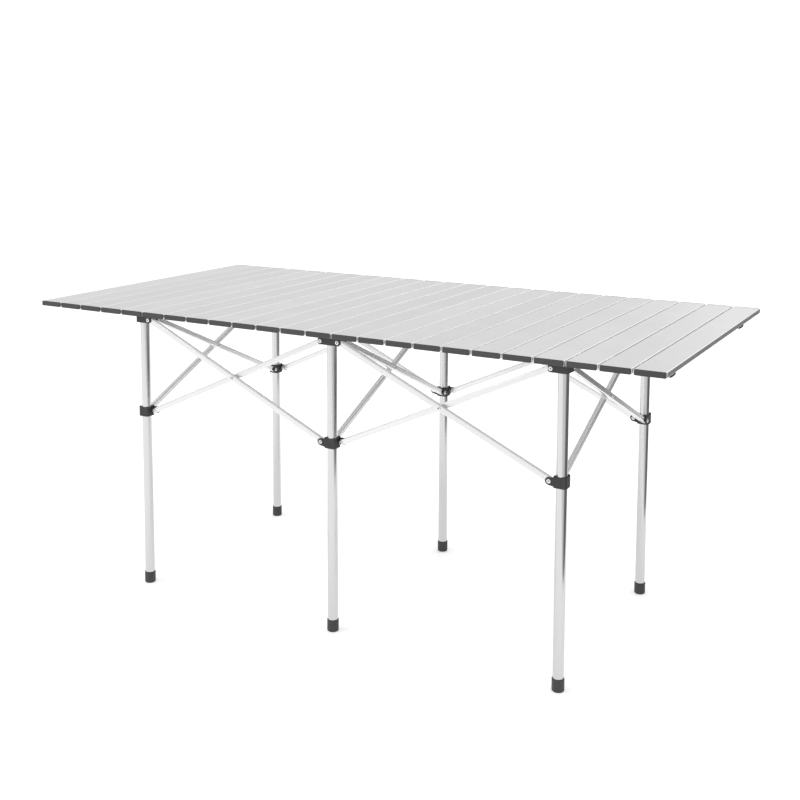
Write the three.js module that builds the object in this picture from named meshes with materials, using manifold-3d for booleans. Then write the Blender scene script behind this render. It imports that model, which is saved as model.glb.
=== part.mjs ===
// Roll-up aluminium picnic table: a slatted top that lifts off and rolls up, on a frame of six legs
// joined by seven scissor bays, so that the whole frame folds into one bundle.
// Millimetres, +Z up. The origin is on the ground under the middle of the tabletop,
// +X runs along the length of the table and +Y from its front edge to its back edge.

import * as THREE from "three";
import { mergeVertices } from "three/addons/utils/BufferGeometryUtils.js";
import Module from "manifold-3d";

const manifold = await Module();
manifold.setup();

// ---- Driving dimensions ----

// Tabletop
const TOP_LENGTH = 1400;
const TOP_DEPTH = 700;
const TOP_HEIGHT = 590;
const SLAT_COUNT = 24;
const SLAT_PITCH = TOP_LENGTH / SLAT_COUNT;
const SLAT_GAP = 2.4;
const SLAT_THICKNESS = 10;
const SLAT_WALL = 0.8;
const SLAT_BEVEL = 1.6;
const CAP_DEPTH = 4; // how far an end cap stands out of its slat
const CAP_LAP = 0.5; // how far it reaches over the slat's end
const CAP_GAP = 5.3; // between neighbouring caps
const CAP_PROUD = 0.2; // above and below the slat
const CORD_INSET = 61.5; // cord line to the front or back edge
const CORD_HOLE_LENGTH = 30;
const CORD_HOLE_HEIGHT = 4.5;

// Clips under the end slats
const CLIP_RADIUS = 7;
const CLIP_LENGTH = 12;
const CLIP_INSET = 8.5; // clip centre to the end of the tabletop
const CLIP_FRONT_Y = -302;
const CLIP_BACK_Y = 190;

// Frame layout
const BAY = 466.5; // leg to leg, both ways
const MIDDLE_LEG_X = 50.5;
const FRONT_LEG_Y = -332;
const PIVOT_REACH = 19; // leg axis to a bar's end pivot
const HUB_PIVOT_Z = 573;
const COLLAR_PIVOT_Z = 377;

// Legs
const LEG_RADIUS = 10;
const LEG_BORE = 8.8;
const FOOT_RADIUS = 11.8;
const FOOT_HEIGHT = 24;
const FOOT_BEVEL = 1.4;

// Brace bars
const BAR_THICKNESS = 9;
const BAR_HEIGHT = 11.5;
const BAR_WALL = 1;
const BAR_OFFSET = 5; // a bar's middle plane to the plane through the leg axes

// Hubs on top of the legs
const HUB_BOTTOM_Z = 566.4;
const HUB_TOP_Z = 579.6;
const HUB_HALF = 12.2;
const HUB_WALL = 2.2;
const HUB_REACH = 24.2;
const HUB_CORNER = 5;
const PLUG_RADIUS = 8.4;
const PLUG_LENGTH = 22;

// Sliding collars
const COLLAR_RADIUS = 12.6;
const COLLAR_BORE = 10.35;
const COLLAR_BELOW_PIVOT = 11;
const COLLAR_ABOVE_PIVOT = 8;
const EAR_RADIUS = 7;
const EAR_INNER = 10; // lateral distance from the leg axis to an ear's inner face
const EAR_THICKNESS = 2.4;

// Rivets
const PIN_RADIUS = 2;
const PIN_HOLE_RADIUS = 2.9;
const SPACER_RADIUS = 3.6;
const PIN_LAP = 1; // how far a rivet reaches into a wall, or past the last bar on it
const RUNNING_GAP = 0.4;

const TUBE_SIDES = 16;
const PIN_SIDES = 6;

// ---- Materials ----

const slatAluminium = new THREE.MeshStandardMaterial({ color: 0xd9dadc, roughness: 0.45, metalness: 0.8 });
const tubeAluminium = new THREE.MeshStandardMaterial({ color: 0xd6d4d3, roughness: 0.35, metalness: 0.9 });
const barAluminium = new THREE.MeshStandardMaterial({ color: 0xcfcfd0, roughness: 0.4, metalness: 0.85 });
const blackPlastic = new THREE.MeshStandardMaterial({ color: 0x2b2b2d, roughness: 0.6, metalness: 0 });

// ---- Solids: three.js shapes, joined and cut ----

function solidOf(geometry) {
  geometry.deleteAttribute("normal");
  geometry.deleteAttribute("uv");
  const merged = mergeVertices(geometry, 1e-4);
  return new manifold.Manifold(
    new manifold.Mesh({
      numProp: 3,
      vertProperties: merged.attributes.position.array,
      triVerts: new Uint32Array(merged.index.array),
    }),
  );
}

function meshOf(name, solid, material) {
  const made = solid.getMesh();
  const geometry = new THREE.BufferGeometry();
  geometry.setAttribute("position", new THREE.BufferAttribute(new Float32Array(made.vertProperties), 3));
  geometry.setIndex(new THREE.BufferAttribute(new Uint32Array(made.triVerts), 1));
  geometry.computeVertexNormals();
  const mesh = new THREE.Mesh(geometry, material);
  mesh.name = name;
  return mesh;
}

const join = (parts) => parts.reduce((whole, part) => whole.add(part));

// A box between two corners.
function box(low, high) {
  const [dx, dy, dz] = high.map((value, i) => value - low[i]);
  const geometry = new THREE.BoxGeometry(dx, dy, dz);
  geometry.translate(low[0] + dx / 2, low[1] + dy / 2, low[2] + dz / 2);
  return solidOf(geometry);
}

// A Shape drawn in x and z, extruded along +Y from fromY to toY.
function plate(shape, fromY, toY, curveSegments = 4) {
  const geometry = new THREE.ExtrudeGeometry(shape, {
    depth: toY - fromY,
    bevelEnabled: false,
    curveSegments,
  });
  geometry.rotateX(Math.PI / 2); // the shape's y becomes z, and it is extruded along -Y
  geometry.translate(0, toY, 0);
  return solidOf(geometry);
}

// A rivet, spacer or hole along +Y from fromY to toY, centred on x and z.
function pinAlongY(radius, x, z, fromY, toY) {
  const geometry = new THREE.CylinderGeometry(radius, radius, toY - fromY, PIN_SIDES);
  geometry.translate(x, (fromY + toY) / 2, z);
  return solidOf(geometry);
}

// A body of revolution about the Z axis from [radius, z] points.
function turned(profile) {
  const points = profile.map(([radius, z]) => new THREE.Vector2(radius, z));
  const geometry = new THREE.LatheGeometry(points, TUBE_SIDES);
  geometry.rotateX(Math.PI / 2);
  return solidOf(geometry);
}

// A rectangle in x and z whose corners are cut off by the given amount.
function bevelledRectangle(width, lowZ, highZ, cut) {
  const shape = new THREE.Shape();
  const half = width / 2;
  shape.moveTo(-half + cut, lowZ);
  shape.lineTo(half - cut, lowZ);
  shape.lineTo(half, lowZ + cut);
  shape.lineTo(half, highZ - cut);
  shape.lineTo(half - cut, highZ);
  shape.lineTo(-half + cut, highZ);
  shape.lineTo(-half, highZ - cut);
  shape.lineTo(-half, lowZ + cut);
  return shape;
}

const group = new THREE.Group();

// ---- Tabletop: hollow slats with their end caps, and a hole for each line of elastic cord ----

function slatSolid() {
  const lowZ = -SLAT_THICKNESS;
  const width = SLAT_PITCH - SLAT_GAP;
  const tubeEnd = TOP_DEPTH / 2 - CAP_DEPTH;
  const profile = bevelledRectangle(width, lowZ, 0, SLAT_BEVEL);
  const hollow = new THREE.Path();
  const hollowHalf = width / 2 - SLAT_WALL - SLAT_BEVEL / 2;
  hollow.moveTo(-hollowHalf, lowZ + SLAT_WALL);
  hollow.lineTo(-hollowHalf, -SLAT_WALL);
  hollow.lineTo(hollowHalf, -SLAT_WALL);
  hollow.lineTo(hollowHalf, lowZ + SLAT_WALL);
  profile.holes.push(hollow);

  const capHalf = (SLAT_PITCH - CAP_GAP) / 2;
  const capAt = (fromY, toY) => box([-capHalf, fromY, lowZ - CAP_PROUD], [capHalf, toY, CAP_PROUD]);
  const frontCap = capAt(-TOP_DEPTH / 2, CAP_LAP - tubeEnd);
  const backCap = capAt(tubeEnd - CAP_LAP, TOP_DEPTH / 2);

  const holes = [-1, 1].map((side) => {
    const y = side * (TOP_DEPTH / 2 - CORD_INSET);
    const z = -SLAT_THICKNESS / 2;
    return box(
      [-SLAT_PITCH, y - CORD_HOLE_LENGTH / 2, z - CORD_HOLE_HEIGHT / 2],
      [SLAT_PITCH, y + CORD_HOLE_LENGTH / 2, z + CORD_HOLE_HEIGHT / 2],
    );
  });
  return join([plate(profile, -tubeEnd, tubeEnd), frontCap, backCap]).subtract(join(holes));
}

const slat = slatSolid();
for (let i = 0; i < SLAT_COUNT; i++) {
  const mesh = meshOf(`slat_${String(i + 1).padStart(2, "0")}`, slat, slatAluminium);
  mesh.position.set((i + 0.5) * SLAT_PITCH - TOP_LENGTH / 2, 0, TOP_HEIGHT);
  group.add(mesh);
}

// ---- Half-round clips under the two end slats ----

function clipSolid() {
  const shape = new THREE.Shape();
  shape.absarc(0, 0, CLIP_RADIUS, Math.PI, Math.PI * 2);
  return plate(shape, -CLIP_LENGTH / 2, CLIP_LENGTH / 2, 6);
}

const clip = clipSolid();
for (const [end, side] of [["left", -1], ["right", 1]]) {
  for (const [row, y] of [["front", CLIP_FRONT_Y], ["back", CLIP_BACK_Y]]) {
    const mesh = meshOf(`edge_clip_${end}_${row}`, clip, blackPlastic);
    const x = side * (TOP_LENGTH / 2 - CLIP_INSET);
    mesh.position.set(x, y, TOP_HEIGHT - SLAT_THICKNESS - RUNNING_GAP);
    group.add(mesh);
  }
}

// ---- Legs, hubs and collars, each made about its own leg's axis ----

// The turn from +X to each arm's direction, in quarter turns.
const QUARTERS = { east: 0, north: 1, west: 2, south: 3 };

const LEGS = [
  { name: "front_left", column: -1, row: 0, arms: ["east", "north"] },
  { name: "front_middle", column: 0, row: 0, arms: ["east", "north", "west"] },
  { name: "front_right", column: 1, row: 0, arms: ["north", "west"] },
  { name: "back_left", column: -1, row: 1, arms: ["east", "south"] },
  { name: "back_middle", column: 0, row: 1, arms: ["east", "west", "south"] },
  { name: "back_right", column: 1, row: 1, arms: ["west", "south"] },
];

const legPlace = (leg) => [MIDDLE_LEG_X + leg.column * BAY, FRONT_LEG_Y + leg.row * BAY];

// A drawn aluminium tube, open at the top, with its foot cap moulded over the bottom end.
function legSolid() {
  return turned([
    [0, 0],
    [FOOT_RADIUS - FOOT_BEVEL, 0],
    [FOOT_RADIUS, FOOT_BEVEL],
    [FOOT_RADIUS, FOOT_HEIGHT - FOOT_BEVEL],
    [FOOT_RADIUS - FOOT_BEVEL, FOOT_HEIGHT],
    [LEG_RADIUS, FOOT_HEIGHT],
    [LEG_RADIUS, HUB_BOTTOM_Z - RUNNING_GAP],
    [LEG_BORE, HUB_BOTTOM_Z - RUNNING_GAP],
    [LEG_BORE, FOOT_HEIGHT],
    [0, FOOT_HEIGHT],
  ]);
}

// One clevis of a hub, pointing along +X: two walls, the rivet through them and the spacer
// that holds the bar against the wall on its -Y side.
function hubArm() {
  const wall = new THREE.Shape();
  wall.moveTo(0, HUB_BOTTOM_Z);
  wall.lineTo(HUB_REACH - HUB_CORNER, HUB_BOTTOM_Z);
  wall.absarc(HUB_REACH - HUB_CORNER, HUB_BOTTOM_Z + HUB_CORNER, HUB_CORNER, -Math.PI / 2, 0);
  wall.lineTo(HUB_REACH, HUB_TOP_Z);
  wall.lineTo(0, HUB_TOP_Z);
  const inside = HUB_HALF - HUB_WALL;
  const barFace = -BAR_OFFSET + BAR_THICKNESS / 2;
  return join([
    plate(wall, -HUB_HALF, -inside, 2),
    plate(wall, inside, HUB_HALF, 2),
    pinAlongY(PIN_RADIUS, PIVOT_REACH, HUB_PIVOT_Z, -inside - PIN_LAP, inside + PIN_LAP),
    pinAlongY(SPACER_RADIUS, PIVOT_REACH, HUB_PIVOT_Z, barFace + RUNNING_GAP, inside + PIN_LAP),
  ]);
}

// One ear of a collar, pointing along +X: it lies outside the bar, on its +Y side, and its
// rivet passes through the bar.
function collarEar() {
  const ear = new THREE.Shape();
  ear.moveTo(0, COLLAR_PIVOT_Z - EAR_RADIUS);
  ear.lineTo(PIVOT_REACH, COLLAR_PIVOT_Z - EAR_RADIUS);
  ear.absarc(PIVOT_REACH, COLLAR_PIVOT_Z, EAR_RADIUS, -Math.PI / 2, Math.PI / 2);
  ear.lineTo(0, COLLAR_PIVOT_Z + EAR_RADIUS);
  const barFace = BAR_OFFSET - BAR_THICKNESS / 2;
  return join([
    plate(ear, EAR_INNER, EAR_INNER + EAR_THICKNESS, 4),
    pinAlongY(PIN_RADIUS, PIVOT_REACH, COLLAR_PIVOT_Z, barFace - PIN_LAP, EAR_INNER + PIN_LAP),
  ]);
}

const aimed = (solid, arm) => solid.rotate([0, 0, 90 * QUARTERS[arm]]);

function hubSolid(arms) {
  const block = box([-HUB_HALF, -HUB_HALF, HUB_BOTTOM_Z], [HUB_HALF, HUB_HALF, HUB_TOP_Z]);
  const plug = turned([
    [0, HUB_BOTTOM_Z - PLUG_LENGTH],
    [PLUG_RADIUS, HUB_BOTTOM_Z - PLUG_LENGTH],
    [PLUG_RADIUS, HUB_BOTTOM_Z + 1],
    [0, HUB_BOTTOM_Z + 1],
  ]);
  return join([block, plug, ...arms.map((arm) => aimed(hubArm(), arm))]);
}

function collarSolid(arms) {
  const lowZ = COLLAR_PIVOT_Z - COLLAR_BELOW_PIVOT;
  const highZ = COLLAR_PIVOT_Z + COLLAR_ABOVE_PIVOT;
  const ring = turned([
    [0, lowZ],
    [COLLAR_RADIUS, lowZ],
    [COLLAR_RADIUS, highZ],
    [0, highZ],
  ]);
  const boreCorner = COLLAR_BORE / Math.cos(Math.PI / TUBE_SIDES);
  const bore = turned([
    [0, lowZ - COLLAR_RADIUS],
    [boreCorner, lowZ - COLLAR_RADIUS],
    [boreCorner, highZ + COLLAR_RADIUS],
    [0, highZ + COLLAR_RADIUS],
  ]);
  return join([ring, ...arms.map((arm) => aimed(collarEar(), arm))]).subtract(bore);
}

const leg = legSolid();
for (const place of LEGS) {
  const [x, y] = legPlace(place);
  const pieces = [
    meshOf(`leg_${place.name}`, leg, tubeAluminium),
    meshOf(`hub_${place.name}`, hubSolid(place.arms), blackPlastic),
    meshOf(`collar_${place.name}`, collarSolid(place.arms), blackPlastic),
  ];
  for (const piece of pieces) {
    piece.position.set(x, y, 0);
    group.add(piece);
  }
}

// ---- Brace bars: each bay's pair is made along +X with its first leg's axis at x = 0 ----

const SPAN = BAY - 2 * PIVOT_REACH;
const DROP = HUB_PIVOT_Z - COLLAR_PIVOT_Z;
const BAR_LENGTH = Math.hypot(SPAN, DROP); // between end pivots
const BAR_ANGLE = Math.atan2(DROP, SPAN);

// A bar between (-length/2, 0) and (length/2, 0) in its own x and z, from -t/2 to t/2 in y.
function barBlank() {
  const half = BAR_LENGTH / 2;
  const radius = BAR_HEIGHT / 2;
  const outline = new THREE.Shape();
  outline.moveTo(-half, -radius);
  outline.lineTo(half, -radius);
  outline.absarc(half, 0, radius, -Math.PI / 2, Math.PI / 2);
  outline.lineTo(-half, radius);
  outline.absarc(-half, 0, radius, Math.PI / 2, Math.PI * 1.5);
  const side = BAR_THICKNESS / 2;
  const bar = plate(outline, -side, side, 4);
  const hollow = box(
    [-half - BAR_HEIGHT, -side + BAR_WALL, -radius + BAR_WALL],
    [half + BAR_HEIGHT, side - BAR_WALL, radius - BAR_WALL],
  );
  const holes = [-half, 0, half].map((x) =>
    pinAlongY(PIN_HOLE_RADIUS, x, 0, -BAR_THICKNESS, BAR_THICKNESS),
  );
  return bar.subtract(join([hollow, ...holes]));
}

const blank = barBlank();
const toDegrees = THREE.MathUtils.radToDeg;

// From the first leg's hub down to the second leg's collar, with the bay's centre rivet on it.
function fallingBar() {
  const innerFace = BAR_OFFSET - BAR_THICKNESS / 2;
  const outerFace = BAR_OFFSET + BAR_THICKNESS / 2;
  const rivet = join([
    pinAlongY(SPACER_RADIUS, 0, 0, -innerFace - BAR_WALL, innerFace - RUNNING_GAP / 2),
    pinAlongY(PIN_RADIUS, 0, 0, -innerFace, outerFace + PIN_LAP),
  ]);
  return blank.translate([0, -BAR_OFFSET, 0]).add(rivet).rotate([0, toDegrees(BAR_ANGLE), 0]);
}

// From the first leg's collar up to the second leg's hub.
function risingBar() {
  return blank.translate([0, BAR_OFFSET, 0]).rotate([0, -toDegrees(BAR_ANGLE), 0]);
}

const BAYS = [
  { name: "front_left", from: "front_left", heading: "east" },
  { name: "front_right", from: "front_middle", heading: "east" },
  { name: "back_left", from: "back_left", heading: "east" },
  { name: "back_right", from: "back_middle", heading: "east" },
  { name: "across_left", from: "front_left", heading: "north" },
  { name: "across_middle", from: "front_middle", heading: "north" },
  { name: "across_right", from: "front_right", heading: "north" },
];

const falling = fallingBar();
const rising = risingBar();
for (const bay of BAYS) {
  const [x, y] = legPlace(LEGS.find((place) => place.name === bay.from));
  const bars = new THREE.Group();
  bars.position.set(x, y, 0);
  bars.rotation.z = (Math.PI / 2) * QUARTERS[bay.heading];
  for (const [way, solid] of [["down", falling], ["up", rising]]) {
    const mesh = meshOf(`brace_${bay.name}_${way}`, solid, barAluminium);
    mesh.position.set(BAY / 2, 0, (HUB_PIVOT_Z + COLLAR_PIVOT_Z) / 2);
    bars.add(mesh);
  }
  group.add(bars);
}

export default group;
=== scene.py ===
"""Looks of the folding picnic table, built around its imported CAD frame. Metres, +Z up."""

import math

import bmesh
import bpy
from mathutils import Matrix, Vector


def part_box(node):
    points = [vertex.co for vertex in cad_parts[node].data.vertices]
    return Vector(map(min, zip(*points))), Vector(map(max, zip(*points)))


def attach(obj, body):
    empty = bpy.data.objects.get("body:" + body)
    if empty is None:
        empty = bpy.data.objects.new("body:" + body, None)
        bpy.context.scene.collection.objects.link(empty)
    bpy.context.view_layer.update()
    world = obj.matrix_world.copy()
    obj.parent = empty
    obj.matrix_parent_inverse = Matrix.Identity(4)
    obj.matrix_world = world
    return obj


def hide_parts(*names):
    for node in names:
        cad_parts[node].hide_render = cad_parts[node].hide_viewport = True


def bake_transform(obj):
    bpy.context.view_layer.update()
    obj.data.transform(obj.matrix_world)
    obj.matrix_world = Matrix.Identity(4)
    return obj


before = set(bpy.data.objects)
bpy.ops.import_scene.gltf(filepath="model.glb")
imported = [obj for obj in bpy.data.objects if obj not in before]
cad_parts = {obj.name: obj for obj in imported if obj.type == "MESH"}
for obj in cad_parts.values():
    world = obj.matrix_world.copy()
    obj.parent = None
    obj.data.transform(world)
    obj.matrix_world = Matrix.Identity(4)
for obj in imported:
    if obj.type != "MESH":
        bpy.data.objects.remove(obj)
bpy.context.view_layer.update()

MM = 0.001

# ---- Dimensions in millimetres ----
# They are the CAD source's where it has them, unless a comment says otherwise.

SLAT_COUNT = 24
SLAT_PITCH = 1400 / SLAT_COUNT
SLAT_GAP = 2.4
SLAT_WIDTH = SLAT_PITCH - SLAT_GAP
SLAT_THICKNESS = 10
SLAT_WALL = 0.8
SLAT_EDGE = 1.6  # rounding of a slat's long edges, which are bevelled in the CAD
TOP_DEPTH = 700
CAP_DEPTH = 1.5  # the plate that shows; the CAD solid is closed over 4 mm
CAP_GAP = 5.3
CAP_WIDTH = SLAT_PITCH - CAP_GAP
CAP_PROUD = 0.2
CAP_CORNER = 1.7
CAP_PLUG_LENGTH = 11  # the CAD has no plugs
CAP_PLUG_WALL = 1.4
CAP_PLUG_CLEARANCE = 0.3
CORD_INSET = 61.5
CORD_HOLE_LENGTH = 5.4  # one hole for each strand, where the CAD has one slot of 30 mm
CORD_HOLE_HEIGHT = 4.5
CORD_HOLE_Z = -4.2  # from the slat's top; 0.8 mm higher than in the CAD
CORD_RADIUS = 1.9
CORD_CLEARANCE = 0.1  # between a strand and the top of its hole
CORD_BOW = 2.0  # how far a strand bows up between two slats
STRAND_Z = CORD_HOLE_Z + CORD_HOLE_HEIGHT / 2 - CORD_RADIUS - CORD_CLEARANCE
STRAND_SPREAD = 12  # from the middle of a cord line to each of its two strands
STRAND_REACH = 7  # how far a strand runs to both sides of a gap's middle

LEG_RADIUS = 10
LEG_BORE = 8.8
LEG_BOTTOM_Z = 3.0  # the tube's end, inside the foot cap
FOOT_RADIUS = 11.3  # 0.5 mm less than in the CAD, as in the photo
FOOT_HEIGHT = 24
HUB_PIVOT_Z = 573
COLLAR_PIVOT_Z = 377
PIVOT_REACH = 19
BAY = 466.5

HUB_HALF = 12.2
HUB_BOTTOM_Z = 566.4
HUB_TOP_Z = 579.6
HUB_WALL = 2.2
HUB_REACH = 24.2
HUB_CORNER = 5
HUB_PLUG_RADIUS = 8.4
HUB_PLUG_LENGTH = 22

COLLAR_HALF = 12.3  # a square with rounded corners, where the CAD has a ring of radius 12.6
COLLAR_CORNER = 5
COLLAR_BORE = 10.35
COLLAR_LOW_Z = 366
COLLAR_HIGH_Z = 385
EAR_RADIUS = 7
EAR_INNER = 10
EAR_THICKNESS = 2.4
LUG_RADIUS = 1.8  # the CAD has no lugs
LUG_HEIGHT = 2.2
LUG_OUT = 2.2  # from the centre of a corner's rounding, both ways

BAR_THICKNESS = 9
BAR_HEIGHT = 11.5
BAR_WALL = 1
BAR_CORNER = 2.1
BAR_OFFSET = 5
RUNNING_GAP = 0.4  # between a leg tube's top and its hub
PIN_HOLE_RADIUS = 2.4  # 0.5 mm less than in the CAD
PIN_RADIUS = 2
SHANK_LAP = 0.2  # how far a rivet's shank reaches into its heads
SPACER_RADIUS = 3.6
HEAD_RADIUS = 4.0  # the CAD has no rivet heads
CENTRE_HEAD_RADIUS = 3.4
HEAD_HEIGHT = 1.3
HEAD_SKIRT = 0.6  # the straight side of a head, below its dome
HEAD_HOLE_RADIUS = 1.15
HEAD_HOLE_Z = -0.4  # the bottom of the hole, from the top of the skirt
HEAD_CLEARANCE = 0.1  # between a rivet's head and a bar that turns on it

CLIP_RADIUS = 7
CLIP_LENGTH = 12
CLIP_RIM = 0.7  # how far a clip's rims and rib stand out

FINE_STEPS = 8  # points that round the corner of a hub or collar, less one
ROUND_SEGMENTS = 64  # points round a leg, a foot or a collar's bore
SMALL_SEGMENTS = 32  # points round a rivet
HOLE_SEGMENTS = 24  # points round a rivet's hole or a lug
OFFSET = 0.05  # keeps faces of two solids apart where they would lie in one plane

EAST, NORTH, WEST, SOUTH = range(4)  # quarter turns from +X
ARMS = {  # the directions of the braces at each leg
    "front_left": [EAST, NORTH],
    "front_middle": [EAST, NORTH, WEST],
    "front_right": [NORTH, WEST],
    "back_left": [EAST, SOUTH],
    "back_middle": [EAST, WEST, SOUTH],
    "back_right": [WEST, SOUTH],
}
BAYS = {  # each bay's first leg and the direction of its second
    "front_left": ("front_left", EAST),
    "front_right": ("front_middle", EAST),
    "back_left": ("back_left", EAST),
    "back_right": ("back_middle", EAST),
    "across_left": ("front_left", NORTH),
    "across_middle": ("front_middle", NORTH),
    "across_right": ("front_right", NORTH),
}

SMOOTH_ANGLE = math.radians(32)  # edges that bend more stay sharp, or are bevelled
BEVEL_SEGMENTS = 3
WORN_HIGHLIT_BEND = math.radians(13)  # a narrow face counts as a worn edge that takes a painted highlight where it bends this much
WORN_HIGHLIT_WIDTH = 1.2  # the widest face that counts as narrow
SLIVER = 0.002  # points closer than this are merged
TINY = 1e-9  # keeps a division from failing


# ---- Shells: lists of points in millimetres and faces that close them ----


def rounded(corners, radii, steps=5):
    """A polygon's points, anticlockwise, with its corners rounded."""
    points = []
    for i, (corner, radius) in enumerate(zip(corners, radii)):
        here = Vector(corner)
        back = (Vector(corners[i - 1]) - here).normalized()
        ahead = (Vector(corners[(i + 1) % len(corners)]) - here).normalized()
        half = back.angle(ahead) / 2
        centre = here + (back + ahead).normalized() * radius / math.sin(half)
        first = here + back * radius / math.tan(half) - centre
        last = here + ahead * radius / math.tan(half) - centre
        turn = math.atan2(first.x * last.y - first.y * last.x, first.dot(last))
        for k in range(steps + 1):
            a = turn * k / steps
            c, s = math.cos(a), math.sin(a)
            points.append(centre + Vector((first.x * c - first.y * s, first.x * s + first.y * c)))
    return points


def rectangle(width, low, high, radius, steps=5):
    """A rectangle's points, its width centred on 0, with its corners rounded."""
    half = width / 2
    corners = [(-half, low), (half, low), (half, high), (-half, high)]
    return rounded(corners, [radius] * 4, steps)


def along_x(point, at):
    """A point of an outline in the YZ plane, placed at a distance along X."""
    return Vector((at, point[0], point[1]))


def along_y(point, at):
    return Vector((point[0], at, point[1]))


def along_z(point, at):
    return Vector((point[0], point[1], at))


def prism(points, low, high, place):
    """A closed prism from an outline."""
    n = len(points)
    verts = [place(p, low) for p in points] + [place(p, high) for p in points]
    sides = [(i, (i + 1) % n, n + (i + 1) % n, n + i) for i in range(n)]
    return verts, [*sides, tuple(reversed(range(n))), tuple(range(n, 2 * n))]


def pipe(outer, inner, low, high, place):
    """A hollow prism, open at both ends. The outlines have as many points as each other."""
    n = len(outer)
    rings = [(outer, low), (outer, high), (inner, high), (inner, low)]
    verts = [place(p, at) for points, at in rings for p in points]
    faces = []
    for ring in range(4):
        a, b = ring * n, ((ring + 1) % 4) * n
        faces += [(a + i, a + (i + 1) % n, b + (i + 1) % n, b + i) for i in range(n)]
    return verts, faces


def lathe(profile, segments=48):
    """A body of revolution about Z from [radius, z] points. Radius 0 closes it on the axis."""
    verts, faces, rings = [], [], []
    for radius, z in profile:
        if radius == 0:
            rings.append([len(verts)] * segments)
            verts.append(Vector((0, 0, z)))
            continue
        rings.append(list(range(len(verts), len(verts) + segments)))
        for k in range(segments):
            a = 2 * math.pi * k / segments
            verts.append(Vector((radius * math.cos(a), radius * math.sin(a), z)))
    pairs = list(zip(rings, rings[1:]))
    if profile[0][0] != 0:
        pairs.append((rings[-1], rings[0]))
    for low, high in pairs:
        for k in range(segments):
            face = (low[k], low[(k + 1) % segments], high[(k + 1) % segments], high[k])
            face = tuple(dict.fromkeys(face))
            if len(face) > 2:
                faces.append(face)
    return verts, faces


def sweep(path, radius, segments=12, heading=None):
    """A round cord with closed ends along a path. A heading keeps all its rings parallel."""
    verts, faces = [], []
    count = len(path)
    for i, point in enumerate(path):
        ahead = heading or (path[min(i + 1, count - 1)] - path[max(i - 1, 0)]).normalized()
        side = ahead.cross(Vector((0, 0, 1))).normalized()
        up = side.cross(ahead)
        for k in range(segments):
            a = 2 * math.pi * k / segments
            verts.append(point + (side * math.cos(a) + up * math.sin(a)) * radius)
    for i in range(count - 1):
        a, b = i * segments, (i + 1) * segments
        for k in range(segments):
            faces.append((a + k, a + (k + 1) % segments, b + (k + 1) % segments, b + k))
    last = (count - 1) * segments
    faces.append(tuple(reversed(range(segments))))
    faces.append(tuple(range(last, last + segments)))
    return verts, faces


def cylinder(radius, low, high, segments=48):
    return lathe([(0, low), (radius, low), (radius, high), (0, high)], segments)


def moved(shell, matrix):
    verts, faces = shell
    return [matrix @ v for v in verts], faces


def quarter_turn(quarters):
    """A turn about Z that keeps coordinates exact, so that faces made to be coplanar stay so."""
    c, s = [(1, 0), (0, 1), (-1, 0), (0, -1)][quarters % 4]
    return Matrix(((c, -s, 0, 0), (s, c, 0, 0), (0, 0, 1, 0), (0, 0, 0, 1)))


# ---- Meshes ----


def mesh_of(name, shells):
    """A mesh in metres of closed shells, with its faces turned outwards."""
    bm = bmesh.new()
    for verts, faces in shells:
        made = [bm.verts.new(v * MM) for v in verts]
        for face in faces:
            bm.faces.new([made[i] for i in face])
    bmesh.ops.recalc_face_normals(bm, faces=bm.faces)
    mesh = bpy.data.meshes.new(name)
    bm.to_mesh(mesh)
    bm.free()
    return mesh


def with_modifiers(mesh, add):
    """The mesh after the modifiers that add() puts on it."""
    holder = bpy.data.objects.new("holder", mesh)
    bpy.context.scene.collection.objects.link(holder)
    add(holder)
    graph = bpy.context.evaluated_depsgraph_get()
    made = bpy.data.meshes.new_from_object(
        holder.evaluated_get(graph), preserve_all_data_layers=True, depsgraph=graph
    )
    made.name = mesh.name
    bpy.data.objects.remove(holder)
    return made


def combined(mesh, shells, operation):
    """The mesh joined with closed shells, or cut by them, one after another."""
    tools = []
    for shell in shells:
        tool = bpy.data.objects.new("tool", mesh_of("tool", [shell]))
        bpy.context.scene.collection.objects.link(tool)
        tools.append(tool)

    def add(holder):
        for tool in tools:
            step = holder.modifiers.new("boolean", "BOOLEAN")
            step.solver = "EXACT"
            step.operation = operation
            step.object = tool

    made = with_modifiers(mesh, add)
    for tool in tools:
        bpy.data.objects.remove(tool)
    return made


def merge_slivers(mesh):
    """Removes the edges of no length and faces of no area that booleans and bevels leave."""
    bm = bmesh.new()
    bm.from_mesh(mesh)
    bmesh.ops.remove_doubles(bm, verts=bm.verts, dist=SLIVER * MM)
    bmesh.ops.dissolve_degenerate(bm, edges=bm.edges, dist=SLIVER * MM)
    bm.to_mesh(mesh)
    bm.free()


def mark_worn_highlit_edges(mesh):
    """Gives each narrow face that rounds an edge a mark of 1 for wear and a painted highlight, and
    every other face 0.
    """
    bm = bmesh.new()
    bm.from_mesh(mesh)
    values = []
    for face in bm.faces:
        width = 2 * face.calc_area() / max(face.calc_perimeter(), TINY)
        bend = max(edge.calc_face_angle(0.0) for edge in face.edges)
        values.append(1.0 if width < WORN_HIGHLIT_WIDTH * MM and bend > WORN_HIGHLIT_BEND else 0.0)
    bm.free()
    mesh.attributes.new("wear", "FLOAT", "FACE").data.foreach_set("value", values)


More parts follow.
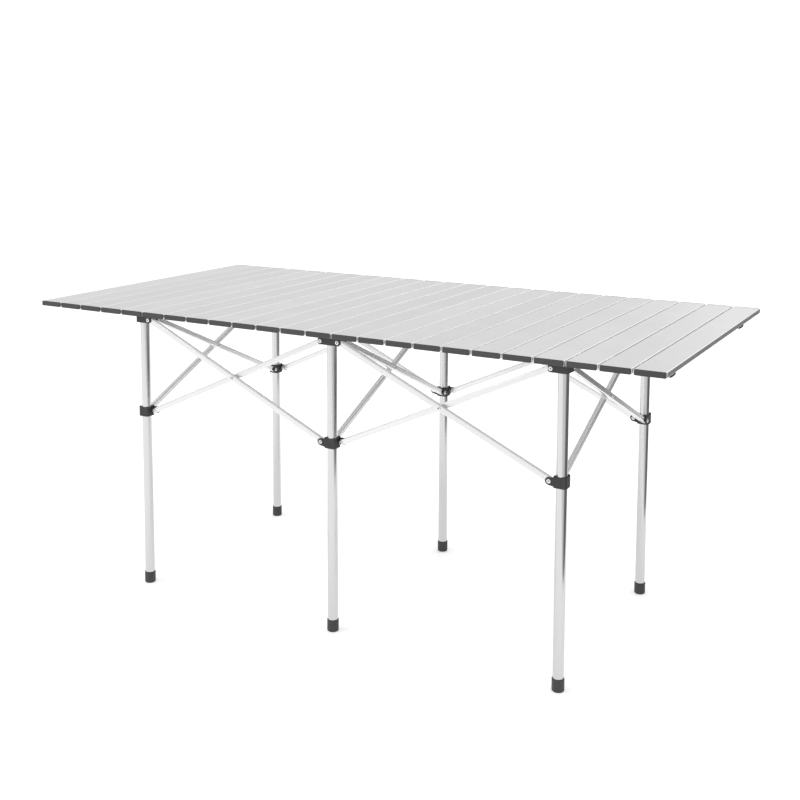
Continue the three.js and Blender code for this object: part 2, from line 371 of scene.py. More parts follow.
def finished(mesh, material, bevel=0.0):
    """Bevels the mesh's edges, shades its rounded faces smooth, and marks them as worn edges that
    take a painted highlight.
    """
    if bevel:

        def add_bevel(holder):
            step = holder.modifiers.new("bevel", "BEVEL")
            step.width = bevel * MM
            step.segments = BEVEL_SEGMENTS
            step.limit_method = "ANGLE"
            step.angle_limit = SMOOTH_ANGLE
            step.use_clamp_overlap = True

        mesh = with_modifiers(mesh, add_bevel)
    merge_slivers(mesh)
    mesh.polygons.foreach_set("use_smooth", [True] * len(mesh.polygons))
    mesh.set_sharp_from_angle(angle=SMOOTH_ANGLE)

    def add_normals(holder):
        step = holder.modifiers.new("normals", "WEIGHTED_NORMAL")
        step.keep_sharp = True

    mesh = with_modifiers(mesh, add_normals)
    mark_worn_highlit_edges(mesh)
    mesh.materials.clear()
    mesh.materials.append(material)
    return mesh


def piece(name, mesh, body, place=None, stands_for=()):
    """A visible object that rides on a body, and may take the place of CAD nodes."""
    obj = bpy.data.objects.new(name, mesh)
    bpy.context.scene.collection.objects.link(obj)
    if place is not None:
        obj.matrix_world = place
    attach(obj, body)
    if stands_for:
        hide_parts(*stands_for)
    return obj


# ---- Materials ----


class Nodes:
    """A material's node tree, with short calls for its nodes."""

    def __init__(self, name):
        self.material = bpy.data.materials.new(name)
        self.material.use_nodes = True
        self.tree = self.material.node_tree
        self.shader = self.tree.nodes["Principled BSDF"]

    def add(self, kind, inputs=None, **settings):
        node = self.tree.nodes.new(kind)
        for key, value in settings.items():
            setattr(node, key, value)
        for key, value in (inputs or {}).items():
            self.set(node.inputs[key], value)
        return node

    def set(self, socket, value):
        if isinstance(value, bpy.types.NodeSocket):
            self.tree.links.new(value, socket)
        else:
            socket.default_value = value

    def math(self, operation, a, b=0.0, clamp=False):
        made = self.add("ShaderNodeMath", {0: a, 1: b}, operation=operation, use_clamp=clamp)
        return made.outputs[0]

    def noise(self, vector, scale, detail=3.0, roughness=0.55):
        inputs = {"Vector": vector, "Scale": scale, "Detail": detail, "Roughness": roughness}
        return self.add("ShaderNodeTexNoise", inputs).outputs["Fac"]

    def stretched(self, vector, scale):
        return self.add("ShaderNodeMapping", {"Vector": vector, "Scale": scale}).outputs["Vector"]

    def between(self, factor, low, high):
        inputs = {"Value": factor, "From Min": 0.0, "From Max": 1.0, "To Min": low, "To Max": high}
        return self.add("ShaderNodeMapRange", inputs).outputs["Result"]

    def colours(self, factor, low, high):
        made = self.add("ShaderNodeMix", data_type="RGBA")
        self.set(made.inputs["Factor"], factor)
        self.set(made.inputs["A"], (*low, 1))
        self.set(made.inputs["B"], (*high, 1))
        return made.outputs["Result"]

    def weighed(self, *parts):
        """The sum of values, each times its weight."""
        total = None
        for value, weight in parts:
            part = self.math("MULTIPLY", value, weight)
            total = part if total is None else self.math("ADD", total, part)
        return total

    def own_coordinates(self):
        """Object coordinates, shifted by a different amount on each piece."""
        farthest = 3.7
        where = self.add("ShaderNodeTexCoord").outputs["Object"]
        random = self.add("ShaderNodeObjectInfo").outputs["Random"]
        shift = self.math("MULTIPLY", random, farthest)
        made = self.add("ShaderNodeVectorMath", {0: where, 1: shift}, operation="ADD")
        return made.outputs["Vector"], random

    def bump(self, height, strength, distance):
        inputs = {"Height": height, "Strength": strength, "Distance": distance}
        made = self.add("ShaderNodeBump", inputs)
        self.set(self.shader.inputs["Normal"], made.outputs["Normal"])

    # The mark of the worn edges, which the aluminium also paints brighter as a highlight.
    def wear(self):
        return self.add("ShaderNodeAttribute", attribute_name="wear").outputs["Fac"]


def aluminium(name, dark, light, grain, rough_low, rough_high):
    """Anodised extrusion: fine drawn lines along its length, clouding, scratches, and worn edges
    with a painted highlight.
    """
    scratch_grain = (90.0, 170.0, 130.0)
    scratch_level = 0.66  # only the noise above this shows as scratches
    scratch_gain = 2.2
    scratch_height = 0.4
    edge_polish = 0.16  # how much smoother a worn edge is, under its painted highlight
    n = Nodes(name)
    where, random = n.own_coordinates()
    lines = n.noise(n.stretched(where, grain), scale=1.0, detail=4.0)
    clouds = n.noise(where, scale=11.0)
    scratches = n.noise(n.stretched(where, scratch_grain), scale=1.0, detail=6.0, roughness=0.75)
    scratches = n.math("SUBTRACT", scratches, scratch_level, clamp=True)
    scratches = n.math("MULTIPLY", scratches, scratch_gain)
    tone = n.weighed((lines, 0.45), (clouds, 0.35), (random, 0.2))
    # Worn edges painted brighter in the base colour: edge wear, and a painted highlight along the
    # rounded edges.
    edge = n.math("MULTIPLY", n.wear(), n.between(clouds, 0.5, 1.0))
    tone = n.math("ADD", n.math("ADD", tone, scratches), edge, clamp=True)
    n.set(n.shader.inputs["Base Color"], n.colours(tone, dark, light))
    rough = n.between(n.weighed((lines, 0.6), (clouds, 0.4)), rough_low, rough_high)
    rough = n.math("SUBTRACT", rough, n.math("MULTIPLY", edge, edge_polish))
    n.set(n.shader.inputs["Roughness"], rough)
    n.shader.inputs["Metallic"].default_value = 1.0
    height = n.math("ADD", lines, n.math("MULTIPLY", scratches, scratch_height))
    n.bump(height, strength=0.15, distance=0.00012)
    return n.material


def plastic(name, dark, light, rough_low, rough_high):
    """Moulded plastic: a fine spark-eroded grain, faint flow clouding and rubbed edges."""
    n = Nodes(name)
    where, random = n.own_coordinates()
    grain = n.noise(where, scale=1500.0, detail=2.0)
    clouds = n.noise(where, scale=60.0, detail=4.0)
    rubs = n.noise(where, scale=260.0, detail=5.0, roughness=0.7)
    rub_height = 0.3
    edge = n.math("MULTIPLY", n.wear(), n.between(rubs, 0.1, 0.6))
    tone = n.weighed((grain, 0.2), (clouds, 0.25), (random, 0.12))
    tone = n.math("ADD", tone, edge, clamp=True)
    n.set(n.shader.inputs["Base Color"], n.colours(tone, dark, light))
    n.set(n.shader.inputs["Roughness"], n.between(clouds, rough_low, rough_high))
    height = n.math("ADD", grain, n.math("MULTIPLY", rubs, rub_height))
    n.bump(height, strength=0.3, distance=0.00008)
    return n.material


def rivet_metal(name, dark, light):
    """Bright metal with fine pits."""
    n = Nodes(name)
    where, random = n.own_coordinates()
    pits = n.noise(where, scale=900.0, detail=4.0, roughness=0.7)
    clouds = n.noise(where, scale=150.0)
    tone = n.weighed((clouds, 0.7), (random, 0.3))
    n.set(n.shader.inputs["Base Color"], n.colours(tone, dark, light))
    n.set(n.shader.inputs["Roughness"], n.between(pits, 0.2, 0.42))
    n.shader.inputs["Metallic"].default_value = 1.0
    n.bump(pits, strength=0.2, distance=0.00008)
    return n.material


def elastic(name, dark, light):
    """Braided elastic cord: two families of crossing yarns under a soft sheen."""
    n = Nodes(name)
    where = n.add("ShaderNodeTexCoord").outputs["Object"]
    yarns = []
    for lean in (1.0, -1.0):
        vector = n.stretched(where, (1.0, lean, lean))
        inputs = {"Vector": vector, "Scale": 420.0, "Distortion": 1.2, "Detail": 1.0}
        wave = n.add("ShaderNodeTexWave", inputs, bands_direction="DIAGONAL")
        yarns.append(wave.outputs["Fac"])
    braid = n.math("MULTIPLY", yarns[0], yarns[1])
    fuzz = n.noise(where, scale=2500.0)
    tone = n.weighed((braid, 0.7), (fuzz, 0.3))
    n.set(n.shader.inputs["Base Color"], n.colours(tone, dark, light))
    n.set(n.shader.inputs["Roughness"], n.between(fuzz, 0.7, 0.95))
    n.shader.inputs["Sheen Weight"].default_value = 0.3
    n.bump(braid, strength=0.5, distance=0.0002)
    return n.material


slat_metal = aluminium(
    "slat_anodised",
    dark=(0.6, 0.595, 0.605),
    light=(0.82, 0.815, 0.825),
    grain=(1300.0, 7.0, 1300.0),
    rough_low=0.32,
    rough_high=0.46,
)
leg_metal = aluminium(
    "leg_anodised",
    dark=(0.46, 0.45, 0.455),
    light=(0.6, 0.59, 0.595),
    grain=(900.0, 900.0, 5.0),
    rough_low=0.2,
    rough_high=0.32,
)
bar_metal = aluminium(
    "bar_anodised",
    dark=(0.6, 0.6, 0.61),
    light=(0.78, 0.78, 0.79),
    grain=(6.0, 1100.0, 1100.0),
    rough_low=0.2,
    rough_high=0.34,
)
black_plastic = plastic(
    "moulded_black",
    dark=(0.009, 0.009, 0.01),
    light=(0.046, 0.046, 0.048),
    rough_low=0.42,
    rough_high=0.6,
)
cap_plastic = plastic(
    "moulded_dark_grey",
    dark=(0.028, 0.028, 0.03),
    light=(0.085, 0.084, 0.086),
    rough_low=0.45,
    rough_high=0.62,
)
bright_metal = rivet_metal("rivet_metal", dark=(0.62, 0.62, 0.63), light=(0.86, 0.86, 0.87))
elastic_cord = elastic("elastic_cord", dark=(0.86, 0.86, 0.85), light=(0.97, 0.97, 0.96))


# ---- Slats, end caps and cord ----


STRAND_PLACES = [
    side * (TOP_DEPTH / 2 - CORD_INSET) + spread
    for side in (-1, 1)
    for spread in (-STRAND_SPREAD, STRAND_SPREAD)
]
top_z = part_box("slat_01")[1].z / MM - CAP_PROUD


def slat_mesh(hole_from, hole_to):
    """A slat, with cord holes through the side walls that lie between two places along X."""
    low = -SLAT_THICKNESS
    outer = rectangle(SLAT_WIDTH, low, 0, SLAT_EDGE)
    inner_width = SLAT_WIDTH - 2 * SLAT_WALL
    inner = rectangle(inner_width, low + SLAT_WALL, -SLAT_WALL, SLAT_EDGE - SLAT_WALL)
    end = TOP_DEPTH / 2 - CAP_DEPTH
    tube = mesh_of("slat_extrusion", [pipe(outer, inner, -end, end, along_y)])
    hole = rectangle(
        CORD_HOLE_LENGTH,
        CORD_HOLE_Z - CORD_HOLE_HEIGHT / 2,
        CORD_HOLE_Z + CORD_HOLE_HEIGHT / 2,
        CORD_HOLE_HEIGHT / 2 - 0.01,  # short of a half circle, which would leave sides of no length
    )
    cutter = prism(hole, hole_from, hole_to, along_x)
    holes = [moved(cutter, Matrix.Translation((0, y, 0))) for y in STRAND_PLACES]
    return finished(combined(tube, holes, "DIFFERENCE"), slat_metal)


def cap_mesh():
    """A front end cap: its plate, and the hollow plug that holds it in the slat."""
    outer_corner, inner_corner = 1.0, 0.4
    lap = 0.5  # how far the plug reaches into the plate
    end = TOP_DEPTH / 2 - CAP_DEPTH
    low = -SLAT_THICKNESS
    face = rectangle(CAP_WIDTH, low - CAP_PROUD, CAP_PROUD, CAP_CORNER)
    plate = prism(face, -TOP_DEPTH / 2, -end, along_y)
    width = SLAT_WIDTH - 2 * (SLAT_WALL + CAP_PLUG_CLEARANCE)
    bottom = low + SLAT_WALL + CAP_PLUG_CLEARANCE
    top = -SLAT_WALL - CAP_PLUG_CLEARANCE
    wall = CAP_PLUG_WALL
    plug = pipe(
        rectangle(width, bottom, top, outer_corner),
        rectangle(width - 2 * wall, bottom + wall, top - wall, inner_corner),
        -end - lap,
        -end + CAP_PLUG_LENGTH,
        along_y,
    )
    whole = combined(mesh_of("slat_cap", [plate]), [plug], "UNION")
    return finished(whole, cap_plastic, bevel=0.55)


def gap_cord(x):
    """The strands of elastic that cross one gap between slats."""
    steps = 12
    half_gap = SLAT_GAP / 2
    in_left_slat = [-STRAND_REACH, -4, -2.2]  # places of the strand's rings, from the gap's middle
    in_gap = [-half_gap + SLAT_GAP * i / steps for i in range(steps + 1)]
    in_right_slat = [-offset for offset in reversed(in_left_slat)]
    shells = []
    for y in STRAND_PLACES:
        path = []
        for offset in [*in_left_slat, *in_gap, *in_right_slat]:
            bow = 0
            if abs(offset) < half_gap:
                bow = CORD_BOW * math.cos(math.pi * offset / SLAT_GAP)
            path.append(Vector((x + offset, y, top_z + STRAND_Z + bow)))
        shells.append(sweep(path, CORD_RADIUS, heading=Vector((1, 0, 0))))
    return shells


def end_loop(side, row):
    """The turn of the elastic inside an end slat, about the slat's own middle."""
    steps = 16
    apart = 1  # between the turn's ends and those of the strands in the gap
    straight = 8
    start = -side * (SLAT_WIDTH / 2 - SLAT_WALL - STRAND_REACH + apart)
    y = row * (TOP_DEPTH / 2 - CORD_INSET)
    path = [Vector((start, y - STRAND_SPREAD, STRAND_Z))]
    for k in range(steps + 1):
        a = math.pi * k / steps - math.pi / 2
        x = start + side * (straight + STRAND_SPREAD * math.cos(a))
        path.append(Vector((x, y + STRAND_SPREAD * math.sin(a), STRAND_Z)))
    path.append(Vector((start, y + STRAND_SPREAD, STRAND_Z)))
    return sweep(path, CORD_RADIUS)


slat = slat_mesh(-SLAT_PITCH, SLAT_PITCH)
left_slat = slat_mesh(0, SLAT_PITCH)
right_slat = slat_mesh(-SLAT_PITCH, 0)
cap = cap_mesh()
half_turn = Matrix.Rotation(math.pi, 4, "Z")

for i in range(1, SLAT_COUNT + 1):
    name = f"slat_{i:02d}"
    low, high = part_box(name)
    middle = Matrix.Translation(((low.x + high.x) / 2, 0, top_z * MM))
    mesh = {1: left_slat, SLAT_COUNT: right_slat}.get(i, slat)
    piece(name + "_extrusion", mesh, name, middle, [name])
    piece(name + "_cap_front", cap, name, middle)
    piece(name + "_cap_back", cap, name, middle @ half_turn)

for i in range(1, SLAT_COUNT):
    left, right = f"slat_{i:02d}", f"slat_{i + 1:02d}"
    x = (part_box(left)[1].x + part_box(right)[0].x) / 2 / MM
    mesh = finished(mesh_of(f"cord_{i:02d}", gap_cord(x)), elastic_cord)
    cord = bpy.data.objects.new(f"cord_gap_{i:02d}", mesh)
    bpy.context.scene.collection.objects.link(cord)
    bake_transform(cord)

for side, name in ((-1, "slat_01"), (1, "slat_24")):
    low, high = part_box(name)
    middle = Matrix.Translation(((low.x + high.x) / 2, 0, top_z * MM))
    shells = [end_loop(side, row) for row in (-1, 1)]
    loops = finished(mesh_of("cord_end", shells), elastic_cord)
    piece(f"cord_end_{name}", loops, name, place=middle)


# ---- Clips under the end slats ----


def half_round(radius, half_length):
    """The lower half of a cylinder along Y."""
    steps = 16
    arc = []
    for k in range(steps + 1):
        a = math.pi + math.pi * k / steps
        arc.append(Vector((math.cos(a), math.sin(a))) * radius)
    return prism(arc, -half_length, half_length, along_y)


def clip_mesh():
    """A half-round clip with a rim at each end and a raised rib round its middle."""
    rim_half = 1  # half a rim's length along Y
    sunk = 0.02  # keeps the rims' flat sides off the body's
    body = mesh_of("clip", [half_round(CLIP_RADIUS - CLIP_RIM, CLIP_LENGTH / 2 - OFFSET)])
    rim = half_round(CLIP_RADIUS, rim_half)
    rims = [
        moved(rim, Matrix.Translation((0, y, -sunk)))
        for y in (-CLIP_LENGTH / 2 + rim_half, 0, CLIP_LENGTH / 2 - rim_half)
    ]
    return finished(combined(body, rims, "UNION"), black_plastic, bevel=0.3)


clip = clip_mesh()
for end, body in (("left", "slat_01"), ("right", "slat_24")):
    for row in ("front", "back"):
        name = f"edge_clip_{end}_{row}"
        low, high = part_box(name)
        place = Matrix.Translation(((low.x + high.x) / 2, (low.y + high.y) / 2, high.z))
        piece(name + "_moulding", clip, body, place, [name])


# ---- Rivets: heads with a dark drawn-in centre, along +Z from a face at z = 0 ----


def rivet_head(radius):
    """A low dome on a straight skirt, with a hole in its middle."""
    dome = [  # parts of the radius and the height
        (0.72, 0.92),
        (0.93, 0.55),
    ]
    profile = [
        (0, HEAD_HOLE_Z),
        (HEAD_HOLE_RADIUS, HEAD_HOLE_Z),
        (HEAD_HOLE_RADIUS + 0.1, HEAD_HEIGHT * 0.75),
        (HEAD_HOLE_RADIUS + 0.5, HEAD_HEIGHT),
        *[(radius * out, HEAD_HEIGHT * up) for out, up in dome],
        (radius, 0.1),
        (radius, -HEAD_SKIRT),
        (0, -HEAD_SKIRT),
    ]
    return lathe(profile, SMALL_SEGMENTS)


def rivet(low, high, radius=HEAD_RADIUS):
    """A rivet along +Z whose heads bear on faces at low and high."""
    head = rivet_head(radius)
    flip = Matrix.Rotation(math.pi, 4, "X")
    return [
        cylinder(PIN_RADIUS, low - SHANK_LAP, high + SHANK_LAP),
        moved(head, Matrix.Translation((0, 0, high + HEAD_SKIRT))),
        moved(head, Matrix.Translation((0, 0, low - HEAD_SKIRT)) @ flip),
    ]


def sideways(shells, reach, height):
    """Turns shells made along +Z to lie along +Y, at a distance along +X and a height."""
    place = Matrix.Translation((reach, 0, height)) @ Matrix.Rotation(-math.pi / 2, 4, "X")
    return [moved(shell, place) for shell in shells]


# ---- Legs, feet, hubs and collars ----


def leg_mesh():
    """A tube along Z, with its outer edges taken off."""
    top = HUB_BOTTOM_Z - RUNNING_GAP
    profile = [
        (LEG_BORE, LEG_BOTTOM_Z),
        (LEG_RADIUS - 0.2, LEG_BOTTOM_Z),
        (LEG_RADIUS, LEG_BOTTOM_Z + 0.3),
        (LEG_RADIUS, top - 0.4),
        (LEG_RADIUS - 0.35, top),
        (LEG_BORE, top),
    ]
    return finished(mesh_of("leg_tube", [lathe(profile, ROUND_SEGMENTS)]), leg_metal)


def foot_mesh():
    """A cup round the leg's end, with a rounded foot and a lip that widens at its mouth."""
    steps = 6
    round_off = 2.6
    floor_z = 2.6
    mouth_z = 20.5
    bore = LEG_RADIUS + 0.08
    centre = FOOT_RADIUS - round_off
    profile = [(0, 0), (centre, 0)]
    for k in range(1, steps + 1):
        a = math.pi / 2 * k / steps
        profile.append((centre + round_off * math.sin(a), round_off - round_off * math.cos(a)))
    profile += [
        (FOOT_RADIUS, FOOT_HEIGHT - 0.9),
        (FOOT_RADIUS - 0.3, FOOT_HEIGHT - 0.25),
        (FOOT_RADIUS - 0.5, FOOT_HEIGHT),
        (LEG_RADIUS + 0.5, FOOT_HEIGHT),
        (LEG_RADIUS + 0.3, FOOT_HEIGHT - 0.4),
        (bore, mouth_z),
        (bore, floor_z),
        (0, floor_z),
    ]
    return finished(mesh_of("foot_cap", [lathe(profile, ROUND_SEGMENTS)]), black_plastic)


def hub_plate(left, right):
    """One wall of a hub, along +X on the side at -Y, reaching out to an arm's pivot or not."""
    short_corner, top_corner = 1.2, 1.0
    half = HUB_HALF - OFFSET
    start, start_corner = (-HUB_REACH, HUB_CORNER) if left else (-half, short_corner)
    end, end_corner = (HUB_REACH, HUB_CORNER) if right else (half, short_corner)
    corners = [(start, HUB_BOTTOM_Z), (end, HUB_BOTTOM_Z), (end, HUB_TOP_Z), (start, HUB_TOP_Z)]
    outline = rounded(corners, [start_corner, end_corner, top_corner, top_corner], FINE_STEPS)
    return prism(outline, -HUB_HALF, HUB_WALL - HUB_HALF, along_y)


def hub_mesh(arms):
    """A block on a plug that fits the leg, between plates that hold the braces' upper ends."""
    corner = 1.0
    inset = 0.5  # the block's sides lie inside the plates
    half = HUB_HALF - inset
    square = rectangle(2 * half, -half, half, corner)
    block = prism(square, HUB_BOTTOM_Z + OFFSET, HUB_TOP_Z - OFFSET, along_z)
    chamfer = 1
    lap = 1  # how far the plug reaches into the block
    plug_low = HUB_BOTTOM_Z - HUB_PLUG_LENGTH
    plug = lathe(
        [
            (0, plug_low),
            (HUB_PLUG_RADIUS - chamfer, plug_low),
            (HUB_PLUG_RADIUS, plug_low + chamfer),
            (HUB_PLUG_RADIUS, HUB_BOTTOM_Z + lap),
            (0, HUB_BOTTOM_Z + lap),
        ]
    )
    parts = [plug]
    for turns in range(4):
        plate = hub_plate((WEST + turns) % 4 in arms, (EAST + turns) % 4 in arms)
        parts.append(moved(plate, quarter_turn(turns)))
    whole = combined(mesh_of("hub", [block]), parts, "UNION")
    return finished(whole, black_plastic, bevel=0.5)


def hub_rivets(arms):
    shells = []
    for arm in arms:
        pin = sideways(rivet(-HUB_HALF, HUB_HALF), PIVOT_REACH, HUB_PIVOT_Z)
        shells += [moved(shell, quarter_turn(arm)) for shell in pin]
    return finished(mesh_of("hub_rivets", shells), bright_metal)


def ear(low, high):
    """An ear's plate: round at its end, with an underside that slopes down to the collar's foot."""
    steps = 24
    root = -2.0  # inside the collar's body
    pivot = Vector((PIVOT_REACH, COLLAR_PIVOT_Z))
    foot = Vector((root, COLLAR_LOW_Z + 0.3))
    reach = foot - pivot
    steepest = math.atan2(reach.y, reach.x) + math.acos(EAR_RADIUS / reach.length)
    outline = [foot]
    for k in range(steps + 1):
        a = steepest + (math.pi / 2 - steepest) * k / steps
        outline.append(pivot + Vector((math.cos(a), math.sin(a))) * EAR_RADIUS)
    outline.append(Vector((root, COLLAR_PIVOT_Z + EAR_RADIUS)))
    return prism(outline, low, high, along_y)


def collar_mesh(arms):
    """A block that slides on the leg, with an ear for each brace and a lug on two corners."""
    square = rectangle(2 * COLLAR_HALF, -COLLAR_HALF, COLLAR_HALF, COLLAR_CORNER, FINE_STEPS)
    body = prism(square, COLLAR_LOW_Z, COLLAR_HIGH_Z, along_z)
    plate = ear(EAR_INNER, EAR_INNER + EAR_THICKNESS)
    parts = [moved(plate, quarter_turn(arm)) for arm in arms]
    lap = 1  # how far a lug reaches into the body
    lug = cylinder(LUG_RADIUS, COLLAR_HIGH_Z - lap, COLLAR_HIGH_Z + LUG_HEIGHT, HOLE_SEGMENTS)
    lug_at = COLLAR_HALF - COLLAR_CORNER + LUG_OUT
    for side in (-1, 1):
        parts.append(moved(lug, Matrix.Translation((side * lug_at, side * lug_at, 0))))
    whole = combined(mesh_of("collar", [body]), parts, "UNION")
    past = 5  # how far the cutter reaches beyond the body
    bore = cylinder(COLLAR_BORE, COLLAR_LOW_Z - past, COLLAR_HIGH_Z + past, ROUND_SEGMENTS)
    return finished(combined(whole, [bore], "DIFFERENCE"), black_plastic, bevel=0.6)


def collar_rivets(arms):
    inner = BAR_OFFSET - BAR_THICKNESS / 2 - HEAD_CLEARANCE
    outer = EAR_INNER + EAR_THICKNESS
    shells = []
    for arm in arms:
        pin = sideways(rivet(inner, outer), PIVOT_REACH, COLLAR_PIVOT_Z)
        shells += [moved(shell, quarter_turn(arm)) for shell in pin]
    return finished(mesh_of("collar_rivets", shells), bright_metal)


leg = leg_mesh()
foot = foot_mesh()
leg_axis = {}
for name, arms in ARMS.items():
    low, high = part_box(f"leg_{name}")
    leg_axis[name] = Vector(((low.x + high.x) / 2, (low.y + high.y) / 2, low.z))
    place = Matrix.Translation(leg_axis[name])
    body = f"leg_{name}"
    piece(f"leg_{name}_tube", leg, body, place, [f"leg_{name}"])
    piece(f"leg_{name}_foot", foot, body, place)
    piece(f"hub_{name}_moulding", hub_mesh(arms), body, place, [f"hub_{name}"])
    piece(f"hub_{name}_rivets", hub_rivets(arms), body, place)
    collar = f"collar_{name}"
    piece(f"{collar}_moulding", collar_mesh(arms), collar, place, [collar])
    piece(f"{collar}_rivets", collar_rivets(arms), collar, place)


# ---- Braces: made along +X about the bay's centre, then turned into the bay ----

SPAN = BAY - 2 * PIVOT_REACH
DROP = HUB_PIVOT_Z - COLLAR_PIVOT_Z
BAR_LENGTH = math.hypot(SPAN, DROP)
BAR_ANGLE = math.atan2(DROP, SPAN)


def bar_mesh():
    """A flat-sided tube with rounded corners, its ends cut round about the end rivets."""
    steps = 20
    half = BAR_LENGTH / 2
    end_radius = BAR_HEIGHT / 2
    outer = rectangle(BAR_THICKNESS, -BAR_HEIGHT / 2, BAR_HEIGHT / 2, BAR_CORNER)
    shrink = Vector((1 - 2 * BAR_WALL / BAR_THICKNESS, 1 - 2 * BAR_WALL / BAR_HEIGHT))
    inner = [Vector((p.x * shrink.x, p.y * shrink.y)) for p in outer]
    tube = mesh_of("bar", [pipe(outer, inner, -half - end_radius, half + end_radius, along_x)])
    cutters = []
    for end in (-1, 1):
        arc = []
        for k in range(steps + 1):
            a = -math.pi / 2 + math.pi * k / steps
            x = end * (half + end_radius * math.cos(a))
            arc.append(Vector((x, end_radius * math.sin(a))))
        past = end * (half + BAR_HEIGHT)
        outline = [
            Vector((arc[0].x, -BAR_HEIGHT)),
            Vector((past, -BAR_HEIGHT)),
            Vector((past, BAR_HEIGHT)),
            Vector((arc[-1].x, BAR_HEIGHT)),
            *reversed(arc),
        ]
        if end < 0:
            outline.reverse()
        cutters.append(prism(outline, -BAR_THICKNESS, BAR_THICKNESS, along_y))
    hole = cylinder(PIN_HOLE_RADIUS, -BAR_THICKNESS, BAR_THICKNESS, HOLE_SEGMENTS)
    for x in (-half, 0, half):
        cutters += sideways([hole], x, 0)
    return finished(combined(tube, cutters, "DIFFERENCE"), bar_metal)


def centre_rivet():
    """The rivet through both bars, with the spacer that keeps them apart."""
    outer = BAR_OFFSET + BAR_THICKNESS / 2 + HEAD_CLEARANCE
    gap = BAR_OFFSET - BAR_THICKNESS / 2 - HEAD_CLEARANCE
    spacer = cylinder(SPACER_RADIUS, -gap, gap, SMALL_SEGMENTS)
    shells = sideways([*rivet(-outer, outer, CENTRE_HEAD_RADIUS), spacer], 0, 0)
    return finished(mesh_of("centre_rivet", shells), bright_metal)


bar = bar_mesh()
centre_pin = centre_rivet()
for bay, (first, heading) in BAYS.items():
    ahead = quarter_turn(heading) @ Vector((1, 0, 0))
    centre = leg_axis[first] + ahead * BAY / 2 * MM
    centre.z = (HUB_PIVOT_Z + COLLAR_PIVOT_Z) / 2 * MM
    place = Matrix.Translation(centre) @ quarter_turn(heading)
    for way, side, lean in (("down", -1, BAR_ANGLE), ("up", 1, -BAR_ANGLE)):
        name = f"brace_{bay}_{way}"
        tilt = Matrix.Rotation(lean, 4, "Y")
        shift = Matrix.Translation((0, side * BAR_OFFSET * MM, 0))
        piece(f"{name}_bar", bar, name, place @ tilt @ shift, [name])
    piece(f"brace_{bay}_rivet", centre_pin, f"brace_{bay}_down", place)


# ---- Floor, light and camera ----


FLOOR_GLOW = 0.32  # the floor is a lit white table, as in a product studio
DARK_SIDE = Vector((0.79, 0.61, 0))  # the studio's unlit side, to the right of the camera
HORIZON_LOW, HORIZON_HIGH = 0.12, 0.32  # the dark side fades out between these heights
CAMERA_SEES = 1.2  # the backdrop's brightness behind the table


def floor():
    """A pale floor that ends 1 m to the right, so that the braces there reflect less of it."""
    mesh = bpy.data.meshes.new("floor")
    left, right, front, back = -4.0, 1.0, -4.0, 4.0
    corners = [(left, front, 0), (right, front, 0), (right, back, 0), (left, back, 0)]
    mesh.from_pydata(corners, [], [(0, 1, 2, 3)])
    n = Nodes("floor_paint")
    where = n.add("ShaderNodeTexCoord").outputs["Object"]
    tone = n.noise(where, scale=3.0, detail=4.0)
    n.set(n.shader.inputs["Base Color"], n.colours(tone, (0.92, 0.92, 0.92), (0.95, 0.95, 0.95)))
    n.shader.inputs["Roughness"].default_value = 0.8
    n.shader.inputs["Specular IOR Level"].default_value = 0.1
    n.shader.inputs["Emission Color"].default_value = (1, 1, 1, 1)
    n.shader.inputs["Emission Strength"].default_value = FLOOR_GLOW
    mesh.materials.append(n.material)
    obj = bpy.data.objects.new("floor", mesh)
    bpy.context.scene.collection.objects.link(obj)


def area_light(name, place, aim, size, power):
    light = bpy.data.lights.new(name, "AREA")
    light.shape = "RECTANGLE"
    light.size, light.size_y = size
    light.energy = power
    obj = bpy.data.objects.new(name, light)
    obj.location = place
    obj.rotation_euler = (Vector(aim) - Vector(place)).to_track_quat("-Z", "Y").to_euler()
    bpy.context.scene.collection.objects.link(obj)


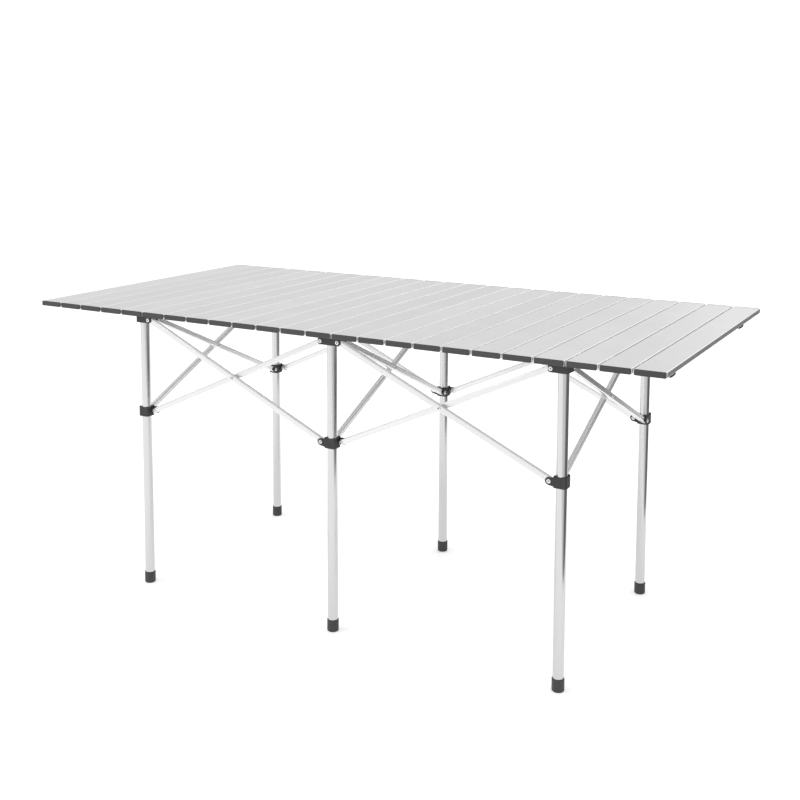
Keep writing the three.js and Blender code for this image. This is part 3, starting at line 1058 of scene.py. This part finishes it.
def studio():
    """A white studio with one dark side, so that faces turned to it go grey."""
    world = bpy.data.worlds.new("studio")
    bpy.context.scene.world = world
    world.use_nodes = True
    tree = world.node_tree
    back = tree.nodes["Background"]
    where = tree.nodes.new("ShaderNodeTexCoord")
    aim = tree.nodes.new("ShaderNodeVectorMath")
    aim.operation = "DOT_PRODUCT"
    aim.inputs[1].default_value = DARK_SIDE
    tree.links.new(where.outputs["Generated"], aim.inputs[0])
    ramp = tree.nodes.new("ShaderNodeValToRGB")
    ramp.color_ramp.elements[0].position = 0.35
    ramp.color_ramp.elements[0].color = (1, 1, 1, 1)
    ramp.color_ramp.elements[1].position = 0.75
    ramp.color_ramp.elements[1].color = (0.2, 0.2, 0.2, 1)
    tree.links.new(aim.outputs["Value"], ramp.inputs["Fac"])
    apart = tree.nodes.new("ShaderNodeSeparateXYZ")
    tree.links.new(where.outputs["Generated"], apart.inputs[0])
    height = tree.nodes.new("ShaderNodeMapRange")
    height.inputs["From Min"].default_value = HORIZON_LOW
    height.inputs["From Max"].default_value = HORIZON_HIGH
    tree.links.new(apart.outputs["Z"], height.inputs["Value"])
    sky = tree.nodes.new("ShaderNodeMix")
    sky.data_type = "RGBA"
    tree.links.new(height.outputs["Result"], sky.inputs["Factor"])
    tree.links.new(ramp.outputs["Color"], sky.inputs["A"])
    sky.inputs["B"].default_value = (1, 1, 1, 1)
    path = tree.nodes.new("ShaderNodeLightPath")
    mix = tree.nodes.new("ShaderNodeMix")
    mix.data_type = "RGBA"
    tree.links.new(path.outputs["Is Camera Ray"], mix.inputs["Factor"])
    tree.links.new(sky.outputs["Result"], mix.inputs["A"])
    mix.inputs["B"].default_value = (CAMERA_SEES, CAMERA_SEES, CAMERA_SEES, 1)
    tree.links.new(mix.outputs["Result"], back.inputs["Color"])
    back.inputs["Strength"].default_value = 0.9


def camera():
    """The photo's viewpoint, fitted to it with the shift held so that other views show it all."""
    data = bpy.data.cameras.new("camera")
    data.sensor_width = 36
    data.lens = 50.557
    data.shift_x = 0.00086
    data.shift_y = -0.20631
    data.clip_end = 200
    obj = bpy.data.objects.new("camera", data)
    place = Vector((1.19105, -2.09713, 0.9977))
    right = Vector((0.87103, 0.491221, 0.002886))
    up = Vector((-0.054309, 0.090457, 0.994418))
    ahead = Vector((-0.488218, 0.866325, -0.105469))
    turn = Matrix((right, up, -ahead)).transposed()
    obj.matrix_world = Matrix.Translation(place) @ turn.to_4x4()
    bpy.context.scene.collection.objects.link(obj)
    bpy.context.scene.camera = obj


floor()
studio()
area_light("key", place=(-2.4, -2.6, 3.2), aim=(0, 0, 0.4), size=(2.4, 2.4), power=30)
area_light("top", place=(0.2, 0.6, 3.6), aim=(0, 0, 0.5), size=(3.6, 2.4), power=16)
area_light("edge", place=(1.3, 3.6, 2.0), aim=(0.2, 0, 0.6), size=(3.6, 1.0), power=6.5)
camera()
bpy.context.scene.view_settings.view_transform = "Standard"
